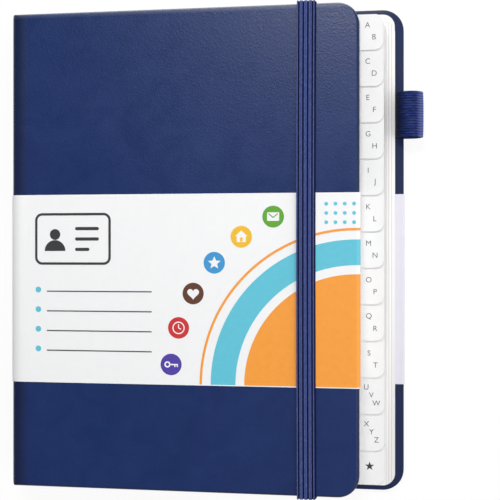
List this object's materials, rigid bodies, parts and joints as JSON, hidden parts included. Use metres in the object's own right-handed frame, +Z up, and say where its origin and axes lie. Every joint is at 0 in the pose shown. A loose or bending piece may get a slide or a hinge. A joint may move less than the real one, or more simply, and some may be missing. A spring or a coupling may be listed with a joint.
{
  "type": "address book",
  "caption": "Hard-cover address book with step-cut index tabs, an elastic closing strap, a pen loop and a paper wrap; the covers and the index sections turn on the spine.",
  "frame": {"origin": "centre of the back cover, on the plane that the closed book rests on", "axes": "+X from the spine to the fore-edge, +Y to the head of the book, +Z up through the front cover"},
  "size_m": [0.167, 0.1952, 0.0221],
  "materials": {
    "cover_leather": "navy leatherette with a fine soft grain, satin",
    "board": "grey binder's board, matt",
    "lining_paper": "smooth off-white lining paper, matt",
    "leaf_paper": "uncoated off-white writing paper, matt",
    "tab_paper": "smooth white index stock, matt",
    "wrap_paper": "smooth white printed paper, satin",
    "strap_elastic": "woven navy elastic with lengthwise ribs, matt",
    "loop_elastic": "woven navy elastic with ribs round the loop, matt",
    "band_cloth": "off-white cotton, matt"
  },
  "bodies": {
    "back_cover": {"back_cover_leather": "cover_leather", "back_board": "board", "back_infill": "lining_paper", "back_pastedown": "lining_paper", "wrap_back": "wrap_paper", "pen_loop": "loop_elastic", "elastic_strap": "strap_elastic"},
    "spine": {"spine_leather": "cover_leather", "spine_card": "board", "sewing_tapes": "band_cloth", "spine_lining": "lining_paper", "head_band": "band_cloth", "tail_band": "band_cloth", "wrap_spine": "wrap_paper"},
    "front_cover": {"front_cover_leather": "cover_leather", "front_board": "board", "front_infill": "lining_paper", "front_pastedown": "lining_paper", "wrap_front": "wrap_paper"},
    "section_ab": {"leaves_ab": "leaf_paper", "tab_ab": "tab_paper", "front_flyleaf": "lining_paper"},
    "section_cd": {"leaves_cd": "leaf_paper", "tab_cd": "tab_paper"},
    "section_ef": {"leaves_ef": "leaf_paper", "tab_ef": "tab_paper"},
    "section_gh": {"leaves_gh": "leaf_paper", "tab_gh": "tab_paper"},
    "section_ij": {"leaves_ij": "leaf_paper", "tab_ij": "tab_paper"},
    "section_kl": {"leaves_kl": "leaf_paper", "tab_kl": "tab_paper"},
    "section_mn": {"leaves_mn": "leaf_paper", "tab_mn": "tab_paper"},
    "section_op": {"leaves_op": "leaf_paper", "tab_op": "tab_paper"},
    "section_qr": {"leaves_qr": "leaf_paper", "tab_qr": "tab_paper"},
    "section_st": {"leaves_st": "leaf_paper", "tab_st": "tab_paper"},
    "section_uvw": {"leaves_uvw": "leaf_paper", "tab_uvw": "tab_paper"},
    "section_xyz": {"leaves_xyz": "leaf_paper", "tab_xyz": "tab_paper"},
    "section_star": {"leaves_star": "leaf_paper", "tab_star": "tab_paper", "back_flyleaf": "lining_paper"}
  },
  "joints": [
    {"name": "spine_hinge", "type": "hinge", "parent": "back_cover", "child": "spine", "pos_m": [-0.07935, 0, 0.00295], "axis": [0, -1, 0], "range_deg": [0, 90], "deforming": ["elastic_strap"]},
    {"name": "front_cover_hinge", "type": "hinge", "parent": "spine", "child": "front_cover", "pos_m": [-0.07935, 0, 0.01801], "axis": [0, -1, 0], "range_deg": [0, 90]},
    {"name": "fold_ab", "type": "hinge", "parent": "spine", "child": "section_ab", "pos_m": [-0.07702, 0, 0.01665], "axis": [0, -1, 0], "range_deg": [0, 76.2]},
    {"name": "fold_cd", "type": "hinge", "parent": "spine", "child": "section_cd", "pos_m": [-0.07702, 0, 0.01562], "axis": [0, -1, 0], "range_deg": [0, 65]},
    {"name": "fold_ef", "type": "hinge", "parent": "spine", "child": "section_ef", "pos_m": [-0.07702, 0, 0.0146], "axis": [0, -1, 0], "range_deg": [0, 53.8]},
    {"name": "fold_gh", "type": "hinge", "parent": "spine", "child": "section_gh", "pos_m": [-0.07702, 0, 0.01357], "axis": [0, -1, 0], "range_deg": [0, 42.6]},
    {"name": "fold_ij", "type": "hinge", "parent": "spine", "child": "section_ij", "pos_m": [-0.07702, 0, 0.01253], "axis": [0, -1, 0], "range_deg": [0, 31.4]},
    {"name": "fold_kl", "type": "hinge", "parent": "spine", "child": "section_kl", "pos_m": [-0.07702, 0, 0.0115], "axis": [0, -1, 0], "range_deg": [0, 20.2]},
    {"name": "fold_mn", "type": "hinge", "parent": "spine", "child": "section_mn", "pos_m": [-0.07702, 0, 0.01047], "axis": [0, -1, 0], "range_deg": [0, 9]},
    {"name": "fold_op", "type": "hinge", "parent": "spine", "child": "section_op", "pos_m": [-0.07702, 0, 0.00945], "axis": [0, -1, 0], "range_deg": [-5, 0]},
    {"name": "fold_qr", "type": "hinge", "parent": "spine", "child": "section_qr", "pos_m": [-0.07702, 0, 0.00842], "axis": [0, -1, 0], "range_deg": [-19, 0]},
    {"name": "fold_st", "type": "hinge", "parent": "spine", "child": "section_st", "pos_m": [-0.07702, 0, 0.00739], "axis": [0, -1, 0], "range_deg": [-33, 0]},
    {"name": "fold_uvw", "type": "hinge", "parent": "spine", "child": "section_uvw", "pos_m": [-0.07702, 0, 0.00636], "axis": [0, -1, 0], "range_deg": [-47, 0]},
    {"name": "fold_xyz", "type": "hinge", "parent": "spine", "child": "section_xyz", "pos_m": [-0.07702, 0, 0.00532], "axis": [0, -1, 0], "range_deg": [-61, 0]},
    {"name": "fold_star", "type": "hinge", "parent": "spine", "child": "section_star", "pos_m": [-0.07702, 0, 0.0043], "axis": [0, -1, 0], "range_deg": [-75, 0]}
  ],
  "couplings": [
    {"joint": "front_cover_hinge", "follows": "spine_hinge", "ratio": 1},
    {"joint": "fold_ab", "follows": "spine_hinge", "ratio": 0.84667},
    {"joint": "fold_cd", "follows": "spine_hinge", "ratio": 0.72222},
    {"joint": "fold_ef", "follows": "spine_hinge", "ratio": 0.59778},
    {"joint": "fold_gh", "follows": "spine_hinge", "ratio": 0.47333},
    {"joint": "fold_ij", "follows": "spine_hinge", "ratio": 0.34889},
    {"joint": "fold_kl", "follows": "spine_hinge", "ratio": 0.22444},
    {"joint": "fold_mn", "follows": "spine_hinge", "ratio": 0.1},
    {"joint": "fold_op", "follows": "spine_hinge", "ratio": -0.055556},
    {"joint": "fold_qr", "follows": "spine_hinge", "ratio": -0.21111},
    {"joint": "fold_st", "follows": "spine_hinge", "ratio": -0.36667},
    {"joint": "fold_uvw", "follows": "spine_hinge", "ratio": -0.52222},
    {"joint": "fold_xyz", "follows": "spine_hinge", "ratio": -0.67778},
    {"joint": "fold_star", "follows": "spine_hinge", "ratio": -0.83333}
  ]
}
